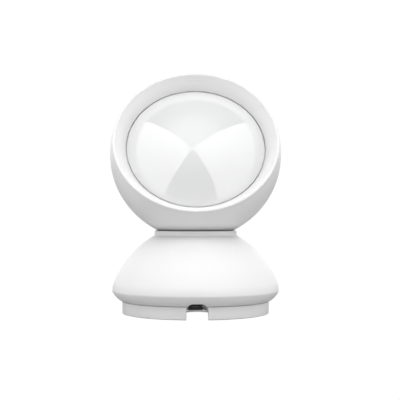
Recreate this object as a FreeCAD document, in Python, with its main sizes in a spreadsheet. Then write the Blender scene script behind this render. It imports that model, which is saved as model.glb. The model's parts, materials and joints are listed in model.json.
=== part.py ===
import FreeCAD, Part
import math
import os
import re
import Sketcher
from FreeCAD import Placement, Rotation, Vector

# A tabletop motion sensor: a ball-shaped head with a recessed dome lens, clamped by a sprung
# hollow bolt in the cup of a flared foot.  The foot stands on a plinth ring with a cable notch,
# and its micro-USB inlet sits behind the notch.
#
# The origin is on the foot's axis, on the table.  +Z is up, and the front faces -Y.
# Pieces of the head are drawn in the head's own frame: its origin is the centre of the ball, its
# +Z is the lens axis and its +X is the object's.  HEAD_PLACE puts them in the object.

DRIVING = [
    ("ball_radius", 34),            # head
    ("ball_wall", 2),
    ("ball_height", 63.3),          # centre of the ball above the table
    ("lens_tilt", 30),              # lens axis above the horizon, in degrees
    ("rim_level", 9.97),            # crest of the rim, along the lens axis
    ("rim_round", 0.5),
    ("rebate_level", 8),
    ("rebate_radius", 31.65),
    ("bezel_gap", 0.1),
    ("seam_radius", 27.35),         # where the funnel of the bezel meets the lens
    ("seam_level", 4.5),
    ("lens_gap", 0.15),
    ("lens_curve", 39.5),
    ("lens_wall", 1.3),
    ("lens_flange_radius", 28.8),
    ("lens_flange_foot", 2),
    ("lens_flange_head", 3.2),
    ("retainer_foot", 0.5),
    ("retainer_radius", 31.3),
    ("pcb_level", -7.4),            # front face of the head's circuit board
    ("pcb_thickness", 1.2),
    ("pcb_radius", 20),
    ("pcb_screw_ring", 17.5),
    ("pir_radius", 4.1),
    ("pir_length", 4.2),
    ("tilt_travel", 10),            # head up or down from rest, in degrees
    ("stem_radius", 2.2),           # hollow bolt of the swivel
    ("stem_bore", 1.3),
    ("stem_foot", 21.8),
    ("stem_top", 38.7),
    ("stem_head_radius", 4.8),
    ("stem_head_height", 1.2),
    ("running_fit", 0.05),
    ("seat_gap", 0.15),
    ("saddle_wall", 1.5),
    ("saddle_spread", 17),          # half angle of the saddle, in degrees
    ("saddle_hub_radius", 4.6),
    ("saddle_hub_top", 33.8),
    ("spring_radius", 3.6),
    ("spring_wire", 0.4),
    ("neck_radius", 16.25),         # foot
    ("neck_top", 32.7),
    ("skirt_arc", 36.05),
    ("skirt_centre_reach", -1.39),
    ("skirt_centre_height", -0.57),
    ("skirt_radius", 32.9),
    ("edge_arc", 9.5),              # the skirt's last turn to its widest level
    ("bevel_arc", 8),
    ("bevel_round", 0.6),
    ("shell_foot", 5.05),
    ("shell_foot_radius", 29.2),
    ("base_wall", 1.8),
    ("web_level", 27),              # underside of the web that carries the swivel
    ("plinth_radius", 28.95),
    ("plinth_bore", 27),
    ("plinth_top", 4.95),
    ("plinth_foot", 0.3),
    ("floor_level", 2.95),
    ("floor_thickness", 1.5),
    ("spigot_radius", 27.45),
    ("spigot_top", 7),
    ("notch_width", 8),
    ("notch_top", 6.3),
    ("notch_corner", 2.9),
    ("port_wall_reach", 26.2),
    ("port_wall_thickness", 1.3),
    ("port_offset", -0.55),
    ("port_level", 3.4),
    ("port_width", 7.5),
    ("port_height", 2.5),
    ("port_narrowing", 1.1),        # each side, at the inlet's narrow lower half
    ("port_depth", 5),
    ("base_pcb_radius", 25.2),
    ("base_pcb_thickness", 1),
    ("boss_ring", 22),
    ("boss_radius", 3),
    ("post_ring", 15),
    ("post_radius", 2.6),
    ("ballast_foot", 11),
    ("ballast_thickness", 4),
    ("ballast_radius", 25.2),
    ("ballast_bore", 7),
    ("button_place", 13),           # setup button, behind the axis
    ("button_radius", 2.2),
    ("harness_radius", 1),
]

doc = FreeCAD.newDocument("MotionSensor")
dims = doc.addObject("Spreadsheet::Sheet", "dims")
for row, (alias, value) in enumerate(DRIVING, start=1):
    dims.set("A%d" % row, alias)
    dims.set("B%d" % row, str(value))
    dims.setAlias("B%d" % row, alias)
doc.recompute()

ALIASES = {alias for alias, value in DRIVING}
HEAD_PLACE = {"Placement.Base.z": "ball_height", "Placement.Rotation.Axis.x": "1",
              "Placement.Rotation.Axis.z": "0", "Placement.Rotation.Angle": "90 - lens_tilt"}
TINY = 1e-6
nodes = []


# ---- helpers -------------------------------------------------------------------------------

def bound(expression):
    """The expression with the sheet's name put before each of its aliases."""
    def full_name(match):
        word = match.group()
        return "dims." + word if word in ALIASES else word
    return re.sub(r"[a-z_]+", full_name, str(expression))


def number(expression):
    """The value that an expression in the sheet's aliases has now."""
    return float(dims.evalExpression(str(expression)))


def bind(item, expressions):
    for name, expression in expressions.items():
        item.setExpression(name, bound(expression))
    return item


def place(item, x=0, y=0, z=0, turn=None):
    """Turns the item, and binds the place of its origin."""
    if turn:
        item.Placement = Placement(Vector(), turn)
    at = {"Placement.Base.x": x, "Placement.Base.y": y, "Placement.Base.z": z}
    return bind(item, {name: value for name, value in at.items() if str(value) != "0"})


def primitive(kind, sizes, x=0, y=0, z=0, turn=None):
    item = doc.addObject("Part::" + kind, kind)
    return place(bind(item, sizes), x, y, z, turn)


def cylinder(radius, height, x=0, y=0, z=0, turn=None):
    return primitive("Cylinder", {"Radius": radius, "Height": height}, x, y, z, turn)


def box(width, depth, height, x=0, y=0, z=0):
    """A box centred on x and y, standing on z."""
    sizes = {"Length": width, "Width": depth, "Height": height}
    return primitive("Box", sizes, "%s - (%s)/2" % (x, width), "%s - (%s)/2" % (y, depth), z)


def fuse(*items):
    union = doc.addObject("Part::MultiFuse", "Union")
    union.Shapes = list(items)
    return union


def cut(base, *tools):
    rest = doc.addObject("Part::Cut", "Rest")
    rest.Base = base
    rest.Tool = tools[0] if len(tools) == 1 else fuse(*tools)
    return rest


def group(*items):
    compound = doc.addObject("Part::Compound", "Group")
    compound.Links = list(items)
    return compound


def ring_places(ring, angles):
    """Expressions for x and y at each angle, in degrees, round a circle."""
    return [("(%s)*cos(%s)" % (ring, angle), "(%s)*sin(%s)" % (ring, angle)) for angle in angles]


def copies(item, places, z=0, turn=None):
    """A group of linked copies of the item."""
    links = []
    for x, y in places:
        link = doc.addObject("App::Link", "Copy")
        link.LinkedObject = item
        links.append(place(link, x, y, z, turn))
    return group(*links)


def new_body(name):
    body = doc.addObject("PartDesign::Body", name)
    planes = {feature.Role: feature for feature in body.Origin.OriginFeatures}
    return body, planes


def arc_middle(start, stop, radius, side):
    """The middle of the short arc between two points, its centre left or right of the way."""
    chord = stop - start
    left = Vector(-chord.y, chord.x, 0).normalize()
    towards = left if side == "left" else -left
    half = chord.Length / 2
    return (start + stop) / 2 - towards * (radius - math.sqrt(radius ** 2 - half ** 2))


def draw(body, plane, outline, offset=None):
    """A fully constrained closed sketch.

    Each entry of the outline is a corner (across, up); an entry (across, up, radius, side) is a
    corner that an arc leaves, with its centre on that side of the way to the next corner.
    """
    sketch = body.newObject("Sketcher::SketchObject", body.Name + "Sketch")
    sketch.AttachmentSupport = [(plane, "")]
    sketch.MapMode = "FlatFace"
    if offset is not None:
        sketch.setExpression("AttachmentOffset.Base.z", bound(offset))
    corners = [Vector(number(entry[0]), number(entry[1]), 0) for entry in outline]
    count = len(corners)
    for index, entry in enumerate(outline):
        start, stop = corners[index], corners[(index + 1) % count]
        if len(entry) == 4:
            middle = arc_middle(start, stop, number(entry[2]), entry[3])
            sketch.addGeometry(Part.Arc(start, middle, stop), False)
        else:
            sketch.addGeometry(Part.LineSegment(start, stop), False)

    def end_at(index, corner):
        first_is_near = (sketch.getPoint(index, 1) - corner).Length < TINY
        return 1 if first_is_near else 2

    for index, entry in enumerate(outline):
        corner, before = corners[index], (index - 1) % count
        end = end_at(index, corner)
        sketch.addConstraint(
            Sketcher.Constraint("Coincident", before, end_at(before, corner), index, end))
        for kind, expression, value, axis in (("DistanceX", entry[0], corner.x, -2),
                                              ("DistanceY", entry[1], corner.y, -1)):
            if str(expression) == "0":
                sketch.addConstraint(Sketcher.Constraint("PointOnObject", index, end, axis))
            else:
                made = sketch.addConstraint(Sketcher.Constraint(kind, -1, 1, index, end, value))
                sketch.setExpression("Constraints[%d]" % made, bound(expression))
        if len(entry) == 4:
            radius = Sketcher.Constraint("Radius", index, number(entry[2]))
            made = sketch.addConstraint(radius)
            sketch.setExpression("Constraints[%d]" % made, bound(entry[2]))
    return sketch


def turned(name, outline):
    """A body revolved about its Z axis from an outline of (radius, height)."""
    body, planes = new_body(name)
    sketch = draw(body, planes["XZ_Plane"], outline)
    revolution = body.newObject("PartDesign::Revolution", name + "Revolution")
    revolution.Profile = sketch
    revolution.ReferenceAxis = (sketch, ["V_Axis"])
    doc.recompute()
    return body


def padded(name, plane, outline, length, offset=None):
    """A body padded along the normal of one of its origin planes."""
    body, planes = new_body(name)
    sketch = draw(body, planes[plane], outline, offset)
    pad = body.newObject("PartDesign::Pad", name + "Pad")
    pad.Profile = sketch
    bind(pad, {"Length": length})
    doc.recompute()
    return body


def rounded(body, radius, circles):
    """Rounds the body's circular edges that lie at these (radius, height)."""
    before = body.Tip
    names = []
    for index, edge in enumerate(before.Shape.Edges, start=1):
        if edge.Degenerated or not isinstance(edge.Curve, Part.Circle):
            continue
        size, level = edge.Curve.Radius, edge.Curve.Center.z
        if any(abs(size - number(r)) < 0.01 and abs(level - number(z)) < 0.01 for r, z in circles):
            names.append("Edge%d" % index)
    fillet = body.newObject("PartDesign::Fillet", body.Name + "Fillet")
    fillet.Base = (before, names)
    bind(fillet, {"Radius": radius})
    doc.recompute()
    return body


def node(label, item, on_head=False):
    """Names an object as a piece of the assembly."""
    item.Label = label
    if on_head:
        bind(item, HEAD_PLACE)
    nodes.append(item)
    return item


def screw(name, head_radius, head_height, shank_radius, shank_length):
    """A pan-head screw with a cross recess: its head stands on z = 0, its shank hangs below."""
    form = turned(name, [
        (0, "-(%s)" % shank_length),
        ("%s*0.5" % shank_radius, "-(%s)" % shank_length),
        (shank_radius, "-(%s) + %s" % (shank_length, shank_radius)),
        (shank_radius, 0),
        (head_radius, 0),
        (head_radius, "%s*0.5" % head_height, "%s*1.2" % head_radius, "left"),
        (0, head_height),
    ])
    slot_width = "%s*0.3" % head_radius
    slot_length = "%s*1.3" % head_radius
    depth = "%s*0.6" % head_height
    foot = "%s*0.5" % head_height
    return cut(form, box(slot_width, slot_length, depth, z=foot),
               box(slot_length, slot_width, depth, z=foot))


HEAD_DOWN = Rotation(Vector(1, 0, 0), 180)


# ---- foot: shell ----------------------------------------------------------------------------

def skirt_height(radius, inset="0"):
    """Height of the skirt's arc, or of its parallel inside, at a radius."""
    return ("skirt_centre_height + sqrt((skirt_arc - %s)^2 - (%s - skirt_centre_reach)^2)"
            % (inset, radius))


def ball_bottom(radius, sphere):
    """Height of the lower half of a sphere about the ball's centre, at a radius."""
    return "ball_height - sqrt((%s)^2 - (%s)^2)" % (sphere, radius)


CUP = "ball_radius + seat_gap"
NECK_FOOT = skirt_height("neck_radius")
EDGE_REACH = "(skirt_radius - edge_arc - skirt_centre_reach)"
SKIRT_WIDEST = "skirt_centre_height + sqrt((skirt_arc - edge_arc)^2 - %s^2)" % EDGE_REACH
EDGE_RADIUS = "skirt_centre_reach + skirt_arc*%s/(skirt_arc - edge_arc)" % EDGE_REACH
lip_radius = "sqrt((%s)^2 - (ball_height - neck_top)^2)" % CUP
shell_form = turned("ShellForm", [
    (0, "shell_foot"),
    ("shell_foot_radius", "shell_foot", "bevel_arc", "left"),
    ("skirt_radius", SKIRT_WIDEST, "edge_arc", "left"),
    (EDGE_RADIUS, skirt_height("(%s)" % EDGE_RADIUS), "skirt_arc", "left"),
    ("neck_radius", NECK_FOOT),
    ("neck_radius", "neck_top"),
    (lip_radius, "neck_top", CUP, "right"),
    (0, ball_bottom(0, CUP)),
])
rounded(shell_form, "bevel_round", [("skirt_radius", SKIRT_WIDEST)])
rounded(shell_form, "0.3", [("neck_radius", "neck_top")])
rounded(shell_form, "0.4", [("neck_radius", NECK_FOOT)])

inner_reach = "skirt_centre_reach + sqrt((skirt_arc - base_wall)^2 - (%s - skirt_centre_height)^2)"
shell_room = turned("ShellRoom", [
    (0, "shell_foot - 1"),
    ("spigot_radius + 0.15", "shell_foot - 1"),
    ("spigot_radius + 0.15", "spigot_top + 0.2"),
    (inner_reach % "10.4", "10.4", "skirt_arc - base_wall", "left"),
    (inner_reach % "web_level", "web_level"),
    (0, "web_level"),
])
BOSS_ANGLES = (90, 210, 330)
POST_ANGLES = (0, 180)
BOSS_FOOT = "floor_level + floor_thickness + 0.1"
POST_FOOT = "ballast_foot + ballast_thickness + 0.1"
ROOF = "web_level + 1"
bosses = [cylinder("boss_radius", "%s - (%s)" % (ROOF, BOSS_FOOT), x, y, BOSS_FOOT)
          for x, y in ring_places("boss_ring", BOSS_ANGLES)]
posts = [cylinder("post_radius", "%s - (%s)" % (ROOF, POST_FOOT), x, y, POST_FOOT)
         for x, y in ring_places("post_ring", POST_ANGLES)]
pan_stop = box(1.4, 2.1, "%s - 25.2" % ROOF, y=-6.25, z=25.2)
shell_cavity = cut(shell_room, *bosses, *posts, pan_stop)

BASE_SCREW = {"head_radius": 2.2, "head_height": 1.3, "shank_radius": 1.1, "shank_length": 10}
SMALL_SCREW = {"head_radius": 1.6, "head_height": 1, "shank_radius": 0.8, "shank_length": 3.4}
TINY_SCREW = {"head_radius": 1, "head_height": 0.7, "shank_radius": 0.5, "shank_length": 3.2}
THREAD_PLAY = 0.03
boss_holes = [cylinder(BASE_SCREW["shank_radius"] + THREAD_PLAY, 10, x, y, "floor_level")
              for x, y in ring_places("boss_ring", BOSS_ANGLES)]
post_holes = [cylinder(BASE_SCREW["shank_radius"] + THREAD_PLAY, 7, x, y, "ballast_foot + 4")
              for x, y in ring_places("post_ring", POST_ANGLES)]
stem_hole = cylinder("stem_radius + running_fit", 6, z="web_level - 1")
SEAT_INNER = 11.5
SEAT_OUTER = 13.5
SEAT_FOOT = 30
seat_groove = cut(cylinder(SEAT_OUTER, 4, z=SEAT_FOOT), cylinder(SEAT_INNER, 5, z=SEAT_FOOT - 0.5))

half_notch = "notch_width/2"
notch = padded("Notch", "XZ_Plane", [
    ("-%s" % half_notch, "-1"),
    (half_notch, "-1"),
    (half_notch, "notch_top - notch_corner", "notch_corner", "left"),
    ("%s - notch_corner" % half_notch, "notch_top"),
    ("notch_corner - %s" % half_notch, "notch_top", "notch_corner", "left"),
    ("-%s" % half_notch, "notch_top - notch_corner"),
], "10", offset="port_wall_reach")

node("base_shell", cut(shell_form, shell_cavity, seat_groove, stem_hole, notch,
                       *boss_holes, *post_holes))

# ---- foot: cover with the plinth ring and the port wall -------------------------------------

FLOOR_TOP = "floor_level + floor_thickness"
cover_form = turned("CoverForm", [
    (0, "floor_level"),
    ("plinth_bore", "floor_level"),
    ("plinth_bore", "plinth_foot"),
    ("plinth_radius - 0.4", "plinth_foot"),
    ("plinth_radius", "plinth_foot + 0.4"),
    ("plinth_radius", "plinth_top - 0.2"),
    ("plinth_radius - 0.2", "plinth_top"),
    ("spigot_radius", "plinth_top"),
    ("spigot_radius", "spigot_top"),
    ("spigot_radius - 1.4", "spigot_top"),
    ("spigot_radius - 1.4", FLOOR_TOP),
    (0, FLOOR_TOP),
])
PORT_WALL_Y = "-(port_wall_reach - port_wall_thickness/2)"
port_wall = box(13, "port_wall_thickness", "spigot_top - floor_level", y=PORT_WALL_Y,
                z="floor_level")
PCB_POST_ANGLES = (30, 150, 270)
PCB_POST_RING = 14
PORT_TOP = "port_level + port_height"
pcb_posts = [cylinder(2, "%s - (%s) + 0.2" % (PORT_TOP, FLOOR_TOP), x, y, "%s - 0.2" % FLOOR_TOP)
             for x, y in ring_places(PCB_POST_RING, PCB_POST_ANGLES)]
cover_walls = cut(cover_form, notch)

PORT_PLAY = 0.1
port_hole = box("port_width + 2*%s" % PORT_PLAY, 4, "port_height + 2*%s" % PORT_PLAY,
                "port_offset", PORT_WALL_Y, "port_level - %s" % PORT_PLAY)
port_window = box("port_width + 2*%s" % PORT_PLAY, "port_depth", 3, "port_offset",
                  "-(port_wall_reach - port_wall_thickness - port_depth/2)", "floor_level - 1")
cover_holes = [cylinder(BASE_SCREW["shank_radius"] + 0.2, 3, x, y, "floor_level - 1")
               for x, y in ring_places("boss_ring", BOSS_ANGLES)]
pcb_holes = [cylinder(SMALL_SCREW["shank_radius"] + THREAD_PLAY, 4, x, y, "floor_level + 0.3")
             for x, y in ring_places(PCB_POST_RING, PCB_POST_ANGLES)]
button_hole = cylinder("button_radius + 0.1", 3, y="button_place", z="floor_level - 1")
FOOT_INNER = 27.4
FOOT_OUTER = 28.2
FOOT_PLAY = 0.05
foot_groove = cut(cylinder(FOOT_OUTER + FOOT_PLAY, 2, z="plinth_foot - 1"),
                  cylinder(FOOT_INNER - FOOT_PLAY, 3, z="plinth_foot - 1.5"))
node("base_cover", cut(fuse(cover_walls, port_wall, *pcb_posts), port_hole, port_window,
                       foot_groove, button_hole, *cover_holes, *pcb_holes))

foot_band = cut(cylinder(FOOT_OUTER, "plinth_foot + 0.95"),
                cylinder(FOOT_INNER, 3, z=-1))
node("foot_ring", cut(foot_band, notch))

base_screw = screw("BaseScrew", **BASE_SCREW)
node("base_screws", copies(base_screw, ring_places("boss_ring", BOSS_ANGLES),
                           "floor_level", HEAD_DOWN))

# ---- foot: board, inlet, button, ballast ----------------------------------------------------

BOARD_TOP = "%s + base_pcb_thickness" % PORT_TOP
board_notches = [cylinder("boss_radius + 0.5", 3, x, y, PORT_TOP + " - 1")
                 for x, y in ring_places("boss_ring", BOSS_ANGLES)]
board_holes = [cylinder(SMALL_SCREW["shank_radius"] + 0.15, 3, x, y, PORT_TOP + " - 1")
               for x, y in ring_places(PCB_POST_RING, PCB_POST_ANGLES)]
board_front = box(16, 3, 3, y="-(port_wall_reach - port_wall_thickness) - 1.3",
                  z=PORT_TOP + " - 1")
node("base_pcb", cut(cylinder("base_pcb_radius", "base_pcb_thickness", z=PORT_TOP),
                     board_front, *board_notches, *board_holes))

small_screw = screw("SmallScrew", **SMALL_SCREW)
node("base_pcb_screws", copies(small_screw, ring_places(PCB_POST_RING, PCB_POST_ANGLES),
                               BOARD_TOP))


def port_outline(inset):
    """Front outline of the inlet: full width under the board, narrower below."""
    wide, narrow = "port_width/2 - %s" % inset, "port_width/2 - port_narrowing - %s*0.6" % inset
    foot, top = "port_level + %s" % inset, "%s - %s" % (PORT_TOP, inset)
    return [("port_offset - (%s)" % narrow, foot), ("port_offset + %s" % narrow, foot),
            ("port_offset + %s" % wide, "port_level + 1.1"), ("port_offset + %s" % wide, top),
            ("port_offset - (%s)" % wide, top), ("port_offset - (%s)" % wide, "port_level + 1.1")]


PORT_SKIN = "0.25"
PORT_BACK = "port_wall_reach - 0.2 - port_depth"
port_form = padded("PortForm", "XZ_Plane", port_outline("0"), "port_depth", PORT_BACK)
port_room = padded("PortRoom", "XZ_Plane", port_outline(PORT_SKIN), "port_depth",
                   PORT_BACK + " + 0.4")
node("micro_usb_shell", cut(port_form, port_room))

tongue_back = box(5.2, 0.8, 1.6, "port_offset", "-(%s + 0.85)" % PORT_BACK, "port_level + 0.4")
tongue_blade = box(3.6, 3.2, 0.6, "port_offset", "-(%s + 2.7)" % PORT_BACK, "port_level + 1.3")
node("micro_usb_tongue", fuse(tongue_back, tongue_blade))

node("voltage_regulator", box(5, 5, 1.2, 9, -7, BOARD_TOP))
node("power_inductor", cylinder(3, 2.6, -10, -6, BOARD_TOP))
connector_form = box(7, 4.6, 3, z=BOARD_TOP)
CONNECTOR_TOP = "%s + 3" % BOARD_TOP
node("base_connector", cut(connector_form, cylinder("harness_radius + 0.05", 3,
                                                     z=CONNECTOR_TOP + " - 1")))

SWITCH_HEIGHT = "0.6"
node("tact_switch", box(3.4, 3.4, SWITCH_HEIGHT, y="button_place",
                        z="%s - %s" % (PORT_TOP, SWITCH_HEIGHT)))
button_pad = turned("ButtonForm", [
    (0, "floor_level - 0.5"),
    ("button_radius - 0.3", "floor_level - 0.5"),
    ("button_radius", "floor_level - 0.2"),
    ("button_radius", FLOOR_TOP + " + 0.05"),
    ("button_radius + 0.7", FLOOR_TOP + " + 0.05"),
    ("button_radius + 0.7", FLOOR_TOP + " + 0.3"),
    (0, FLOOR_TOP + " + 0.3"),
])
node("setup_button", place(button_pad, y="button_place"))

ballast_form = cut(cylinder("ballast_radius", "ballast_thickness", z="ballast_foot"),
                   cylinder("ballast_bore", 6, z="ballast_foot - 1"))
ballast_notches = [cylinder("boss_radius + 0.4", 6, x, y, "ballast_foot - 1")
                   for x, y in ring_places("boss_ring", BOSS_ANGLES)]
ballast_holes = [cylinder(BASE_SCREW["shank_radius"] + 0.2, 6, x, y, "ballast_foot - 1")
                 for x, y in ring_places("post_ring", POST_ANGLES)]
node("ballast_weight", cut(ballast_form, *ballast_notches, *ballast_holes))
node("ballast_screws", copies(base_screw, ring_places("post_ring", POST_ANGLES),
                              "ballast_foot", HEAD_DOWN))

SEAT_PLAY = 0.05
SEAT_SPHERE = "ball_radius + seat_gap - 0.08"
node("seat_ring", turned("SeatRing", [
    (SEAT_INNER + SEAT_PLAY, SEAT_FOOT + SEAT_PLAY),
    (SEAT_OUTER - SEAT_PLAY, SEAT_FOOT + SEAT_PLAY),
    (SEAT_OUTER - SEAT_PLAY, ball_bottom(SEAT_OUTER - SEAT_PLAY, SEAT_SPHERE),
     SEAT_SPHERE, "right"),
    (SEAT_INNER + SEAT_PLAY, ball_bottom(SEAT_INNER + SEAT_PLAY, SEAT_SPHERE)),
]))

# ---- swivel: hollow bolt, saddle, spring, washers, nut, harness -----------------------------

node("swivel_stem", turned("SwivelStem", [
    ("stem_bore", "stem_foot"),
    ("stem_radius - 0.3", "stem_foot"),
    ("stem_radius", "stem_foot + 0.3"),
    ("stem_radius", "stem_top - stem_head_height"),
    ("stem_head_radius", "stem_top - stem_head_height"),
    ("stem_head_radius", "stem_top - 0.3"),
    ("stem_head_radius - 0.3", "stem_top"),
    ("stem_bore", "stem_top"),
]))

SADDLE = "ball_radius - ball_wall - seat_gap"
SADDLE_IN = "%s - saddle_wall" % SADDLE


def on_saddle(sphere):
    return ("(%s)*sin(saddle_spread)" % sphere,
            "ball_height - (%s)*cos(saddle_spread)" % sphere)


saddle_bore = "stem_radius + running_fit"
node("friction_saddle", turned("FrictionSaddle", [
    (saddle_bore, ball_bottom(saddle_bore, SADDLE), SADDLE, "left"),
    on_saddle(SADDLE),
    (*on_saddle(SADDLE_IN), SADDLE_IN, "right"),
    ("saddle_hub_radius", ball_bottom("saddle_hub_radius", SADDLE_IN)),
    ("saddle_hub_radius", "saddle_hub_top"),
    (saddle_bore, "saddle_hub_top"),
]))

SPRING_TURNS_HEIGHT = 2.6
coil = primitive("Helix", {"Radius": "spring_radius", "Pitch": 1.3,
                           "Height": SPRING_TURNS_HEIGHT}, z="saddle_hub_top + spring_wire + 0.15")
wire = primitive("Circle", {"Radius": "spring_wire"}, "spring_radius",
                 z="saddle_hub_top + spring_wire + 0.15", turn=Rotation(Vector(1, 0, 0), 90))
clamp_spring = doc.addObject("Part::Sweep", "ClampSpring")
clamp_spring.Sections = [wire]
clamp_spring.Spine = (coil, [])
clamp_spring.Solid = True
clamp_spring.Frenet = True
node("clamp_spring", clamp_spring)

STOP_TOP = "web_level - 0.1"
STOP_THICKNESS = 1.4
washer_disc = cylinder(4.5, STOP_THICKNESS, z="%s - %s" % (STOP_TOP, STOP_THICKNESS))
washer_tab = box(1.4, 3, STOP_THICKNESS, y=5.6, z="%s - %s" % (STOP_TOP, STOP_THICKNESS))
washer_hole = cylinder("stem_radius + 0.03", 4, z="web_level - 3")
node("stop_washer", cut(fuse(washer_disc, washer_tab), washer_hole))
node("wave_washer", cut(cylinder(4.2, 0.4, z="web_level - 2.0"),
                        cylinder("stem_radius + 0.1", 2, z="web_level - 3")))
nut_form = primitive("Prism", {"Circumradius": 4.6, "Height": 2.3}, z="web_level - 4.4")
nut_form.Polygon = 6
node("stem_nut", cut(nut_form, cylinder("stem_radius + 0.02", 4, z="web_level - 5")))

# ---- head: ball, bezel, lens ----------------------------------------------------------------

BALL_IN = "ball_radius - ball_wall"


def on_ball(level, sphere):
    """Radius of a sphere about the ball's centre, at a level along the lens axis."""
    return "sqrt((%s)^2 - (%s)^2)" % (sphere, level)


crest_level = "rim_level - rim_round"
ball_form = turned("BallForm", [
    (0, "-ball_radius", "ball_radius", "left"),
    ("ball_radius", 0, "ball_radius", "left"),
    (on_ball(crest_level, "ball_radius"), crest_level, "rim_round", "left"),
    (on_ball(crest_level, "ball_radius") + " - rim_round*0.9", "rim_level"),
    ("rebate_radius", "rim_level"),
    ("rebate_radius", "rebate_level"),
    (on_ball("rebate_level", BALL_IN), "rebate_level", BALL_IN, "right"),
    (BALL_IN, 0, BALL_IN, "right"),
    (0, "-(%s)" % BALL_IN),
])
# The slot that the hollow bolt passes through: a wedge about the tilt axis, round the straight
# down direction, which lies at 180 + lens_tilt degrees from the head's +Y.
slot_half_angle = "tilt_travel + asin(stem_radius/(%s))/1deg + 0.6" % BALL_IN
slot_width = "2*(stem_radius + 0.25)"
wedge = primitive("Cylinder", {"Radius": "ball_radius + 2", "Height": slot_width,
                               "Angle": "2*(%s)" % slot_half_angle},
                  x="-(%s)/2" % slot_width, turn=Rotation(Vector(1, 1, 1), 120))
slot = group(wedge)
bind(slot, {"Placement.Rotation.Axis.x": "1", "Placement.Rotation.Axis.z": "0",
            "Placement.Rotation.Angle": "180 + lens_tilt - (%s)" % slot_half_angle})

HEAD_POST_ANGLES = (90, 200, 340)
PCB_BACK = "pcb_level - pcb_thickness"
post_length = "%s + %s" % (BALL_IN, PCB_BACK)
board_posts = [cylinder(2.4, post_length, x, y, "-(%s)" % BALL_IN)
               for x, y in ring_places("pcb_screw_ring", HEAD_POST_ANGLES)]
post_trim = doc.addObject("Part::MultiCommon", "PostTrim")
post_trim.Shapes = [fuse(*board_posts), primitive("Sphere", {"Radius": "ball_radius - 1"})]
head_holes = [cylinder(SMALL_SCREW["shank_radius"] + THREAD_PLAY, 4, x, y, "%s - 4" % PCB_BACK)
              for x, y in ring_places("pcb_screw_ring", HEAD_POST_ANGLES)]
bead_groove = cut(cylinder(32.45, 0.9, z=5.5), cylinder(30, 2, z=5))
node("head_shell", cut(fuse(ball_form, post_trim), slot, bead_groove, *head_holes), on_head=True)

FLANGE = "rebate_radius - bezel_gap"
bezel_form = turned("BezelForm", [
    ("seam_radius + lens_gap", "lens_flange_head + 0.1"),
    ("seam_radius + 1.9", "lens_flange_head + 0.1"),
    (on_ball("rebate_level", BALL_IN) + " - 0.1", "rebate_level + 0.05"),
    (FLANGE, "rebate_level + 0.05"),
    (FLANGE, "rim_level - 0.45", "0.3", "left"),
    (FLANGE + " - 0.3", "rim_level - 0.15"),
    (FLANGE + " - 0.45", "rim_level - 0.15"),
    ("seam_radius + lens_gap", "seam_level"),
])
RETAINER_RING = 30.1
RETAINER_ANGLES = (45, 135, 225, 315)
RETAINER_TOP = "lens_flange_foot - 0.1"
bezel_bosses = [cylinder(1.2, "2.9", x, y, RETAINER_TOP)
                for x, y in ring_places(RETAINER_RING, RETAINER_ANGLES)]
bezel_holes = [cylinder(TINY_SCREW["shank_radius"] + THREAD_PLAY, 3.2, x, y, RETAINER_TOP + " - 1")
               for x, y in ring_places(RETAINER_RING, RETAINER_ANGLES)]
HOOK_SPREAD = 12


def hook(angle):
    """A snap hook that hangs from the bezel's flange into the groove of the ball."""
    arm = cut(primitive("Cylinder", {"Radius": 30.8, "Height": 2.6, "Angle": HOOK_SPREAD}, z=5.6),
              cylinder(30.3, 4, z=5))
    nose = cut(primitive("Cylinder", {"Radius": 32.2, "Height": 0.6, "Angle": HOOK_SPREAD}, z=5.6),
               cylinder(30.3, 4, z=5))
    item = fuse(arm, nose)
    item.Placement = Placement(Vector(), Rotation(Vector(0, 0, 1), angle - HOOK_SPREAD / 2))
    return item


hooks = [hook(angle) for angle in (0, 90, 180, 270)]
node("front_bezel", cut(fuse(bezel_form, *bezel_bosses, *hooks), *bezel_holes), on_head=True)

lens_sag = "lens_curve - sqrt(lens_curve^2 - (seam_radius - lens_gap)^2)"
lens_apex = "seam_level - 0.1 + %s" % lens_sag
lens_centre = "%s - lens_curve" % lens_apex
dome_foot = "lens_flange_radius - 2.9"
lens_form = turned("LensForm", [
    (0, "%s - lens_wall" % lens_apex, "lens_curve - lens_wall", "right"),
    (dome_foot, "%s + sqrt((lens_curve - lens_wall)^2 - (%s)^2)" % (lens_centre, dome_foot)),
    (dome_foot, "lens_flange_foot"),
    ("lens_flange_radius", "lens_flange_foot"),
    ("lens_flange_radius", "lens_flange_head"),
    ("seam_radius - lens_gap", "lens_flange_head"),
    ("seam_radius - lens_gap", "seam_level - 0.1", "lens_curve", "left"),
    (0, lens_apex),
])
node("lens", lens_form, on_head=True)

retainer_form = cut(cylinder("retainer_radius", "%s - retainer_foot" % RETAINER_TOP,
                             z="retainer_foot"),
                    cylinder("lens_flange_radius - 2.4", 4, z="retainer_foot - 1"))
retainer_holes = [cylinder(TINY_SCREW["shank_radius"] + 0.1, 4, x, y, "retainer_foot - 1")
                  for x, y in ring_places(RETAINER_RING, RETAINER_ANGLES)]
node("lens_retainer", cut(retainer_form, *retainer_holes), on_head=True)
tiny_screw = screw("TinyScrew", **TINY_SCREW)
node("retainer_screws", copies(tiny_screw, ring_places(RETAINER_RING, RETAINER_ANGLES),
                               "retainer_foot", HEAD_DOWN), on_head=True)

# ---- head: board and what is on it ----------------------------------------------------------

head_board_holes = [cylinder(SMALL_SCREW["shank_radius"] + 0.15, 3, x, y, PCB_BACK + " - 1")
                    for x, y in ring_places("pcb_screw_ring", HEAD_POST_ANGLES)]
node("head_pcb", cut(cylinder("pcb_radius", "pcb_thickness", z=PCB_BACK), *head_board_holes),
     on_head=True)
node("head_pcb_screws", copies(small_screw, ring_places("pcb_screw_ring", HEAD_POST_ANGLES),
                               "pcb_level"), on_head=True)

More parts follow.
